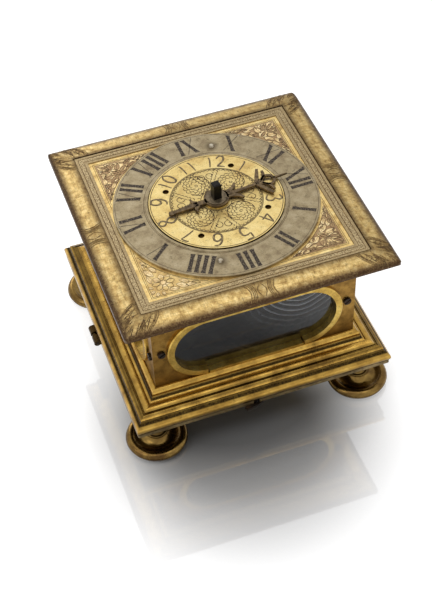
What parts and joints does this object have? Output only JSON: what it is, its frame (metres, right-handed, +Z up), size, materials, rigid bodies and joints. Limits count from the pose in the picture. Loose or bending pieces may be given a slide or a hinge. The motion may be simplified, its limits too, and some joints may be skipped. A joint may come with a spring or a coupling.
{
  "type": "horizontal table clock",
  "caption": "Square gilt-brass table clock that lies flat on turned feet, with a one-handed dial, an alarm disc, glazed sides, a hinged base and a fusee movement with verge escapement.",
  "frame": {"origin": "on the floor under the dial's centre, at the middle of the four feet", "axes": "+Z up out of the dial, +X towards the twelve, the base's hinge on -X and its latch on -Y"},
  "size_m": [0.1352, 0.1352, 0.1054],
  "materials": {
    "gilt_case": "worn gilding with brown patina",
    "bezel_gilt": "worn gilding, rubbed bright on the edges",
    "base_brass": "aged brass",
    "dial_gilt": "engraved and gilt",
    "disc_gilt": "bright gilding, engraved",
    "silvered_ring": "worn silvering, filled numerals",
    "blackened_steel": "blackened and lightly rusted",
    "iron_hand": "filed iron, browned",
    "iron_post": "forged iron",
    "window_glass": "old clear glass",
    "movement_brass": "gilt and brushed",
    "bright_steel": "polished steel",
    "bell_metal": "turned bell metal",
    "gut_line": "twisted gut"
  },
  "bodies": {
    "base": {"base_plate": "base_brass", "foot_front_left": "base_brass", "foot_front_right": "base_brass", "foot_back_left": "base_brass", "foot_back_right": "base_brass", "foot_nuts": "blackened_steel", "plate_hinge_leaf": "blackened_steel", "latch_screw": "blackened_steel"},
    "latch": {"latch_hook": "blackened_steel"},
    "case": {"top_moulding": "gilt_case", "wall_front": "gilt_case", "wall_back": "gilt_case", "wall_left": "gilt_case", "wall_right": "gilt_case", "bezel_front": "bezel_gilt", "bezel_back": "bezel_gilt", "bezel_left": "bezel_gilt", "bezel_right": "bezel_gilt", "window_glasses": "window_glass", "corner_posts": "gilt_case", "wall_screws": "blackened_steel", "base_moulding": "gilt_case", "case_hinge_leaf": "blackened_steel", "hinge_pin": "blackened_steel", "latch_pin": "blackened_steel", "dial_plate": "dial_gilt", "chapter_ring": "silvered_ring", "ring_rivets": "silvered_ring", "upper_plate": "movement_brass", "lower_plate": "movement_brass", "movement_pillars": "movement_brass", "pillar_pins": "bright_steel", "dial_feet": "movement_brass", "barrel_arbors": "bright_steel", "bell": "bell_metal", "bell_post": "bright_steel", "balance_cock": "movement_brass", "crown_bracket": "movement_brass", "fusee_line": "gut_line"},
    "hand": {"hour_hand": "iron_hand", "hand_collet": "iron_post", "centre_arbor": "iron_post", "dial_wheel": "movement_brass"},
    "disc": {"alarm_disc": "disc_gilt", "alarm_cam": "movement_brass"},
    "contrate": {"contrate_wheel": "movement_brass", "contrate_arbor": "bright_steel"},
    "crown": {"crown_wheel": "movement_brass"},
    "second": {"second_wheel": "movement_brass", "second_arbor": "bright_steel"},
    "fusee": {"fusee_cone": "movement_brass", "great_wheel": "movement_brass", "fusee_arbor": "bright_steel"},
    "barrel": {"mainspring_barrel": "movement_brass"},
    "balance": {"balance_wheel": "bright_steel", "verge_staff": "bright_steel"},
    "alarm_drum": {"alarm_barrel": "movement_brass"},
    "alarm_escape": {"alarm_escape_wheel": "movement_brass"},
    "striker": {"alarm_hammer": "bright_steel"}
  },
  "joints": [
    {"name": "case_hinge", "type": "hinge", "parent": "base", "child": "case", "pos_m": [-0.0654, 0.0042, 0.0212], "axis": [0, -1, 0], "range_deg": [0, 100]},
    {"name": "latch_turn", "type": "hinge", "parent": "base", "child": "latch", "pos_m": [0.0055, -0.0585, 0.0196], "axis": [0, 0, 1], "range_deg": [0, 35]},
    {"name": "hand_turn", "type": "hinge", "parent": "case", "child": "hand", "pos_m": [0, 0, 0.0959], "axis": [0, 0, 1], "continuous": true},
    {"name": "disc_turn", "type": "hinge", "parent": "hand", "child": "disc", "pos_m": [0, 0, 0.0938], "axis": [0, 0, 1], "continuous": true},
    {"name": "contrate_turn", "type": "hinge", "parent": "case", "child": "contrate", "pos_m": [0.02148, 0.01295, 0.064], "axis": [0, 0, 1], "continuous": true},
    {"name": "crown_turn", "type": "hinge", "parent": "case", "child": "crown", "pos_m": [-0.00042, 0.01295, 0.062], "axis": [1, 0, 0], "continuous": true},
    {"name": "second_turn", "type": "hinge", "parent": "case", "child": "second", "pos_m": [0.0275, -0.00359, 0.064], "axis": [0, 0, 1], "continuous": true},
    {"name": "fusee_turn", "type": "hinge", "parent": "case", "child": "fusee", "pos_m": [0.02009, -0.02395, 0.064], "axis": [0, 0, 1], "continuous": true},
    {"name": "barrel_turn", "type": "hinge", "parent": "case", "child": "barrel", "pos_m": [-0.022, -0.022, 0.064], "axis": [0, 0, 1], "continuous": true},
    {"name": "balance_swing", "type": "hinge", "parent": "case", "child": "balance", "pos_m": [-0.00542, 0.01295, 0.043], "axis": [0, 0, 1], "range_deg": [-100, 100]},
    {"name": "alarm_barrel_turn", "type": "hinge", "parent": "case", "child": "alarm_drum", "pos_m": [-0.026, 0.024, 0.064], "axis": [0, 0, 1], "continuous": true},
    {"name": "alarm_escape_turn", "type": "hinge", "parent": "case", "child": "alarm_escape", "pos_m": [-0.02307, 0.0074, 0.064], "axis": [0, 0, 1], "continuous": true},
    {"name": "hammer_swing", "type": "hinge", "parent": "case", "child": "striker", "pos_m": [-0.03341, 0.00363, 0.04], "axis": [0, 0, 1], "range_deg": [-12, 0]}
  ],
  "couplings": [
    {"joint": "crown_turn", "follows": "contrate_turn", "ratio": 8},
    {"joint": "second_turn", "follows": "contrate_turn", "ratio": -0.125},
    {"joint": "fusee_turn", "follows": "contrate_turn", "ratio": 0.015625},
    {"joint": "barrel_turn", "follows": "contrate_turn", "ratio": 0.0095434},
    {"joint": "hand_turn", "follows": "contrate_turn", "ratio": -0.0052083},
    {"joint": "alarm_escape_turn", "follows": "alarm_barrel_turn", "ratio": -5}
  ]
}
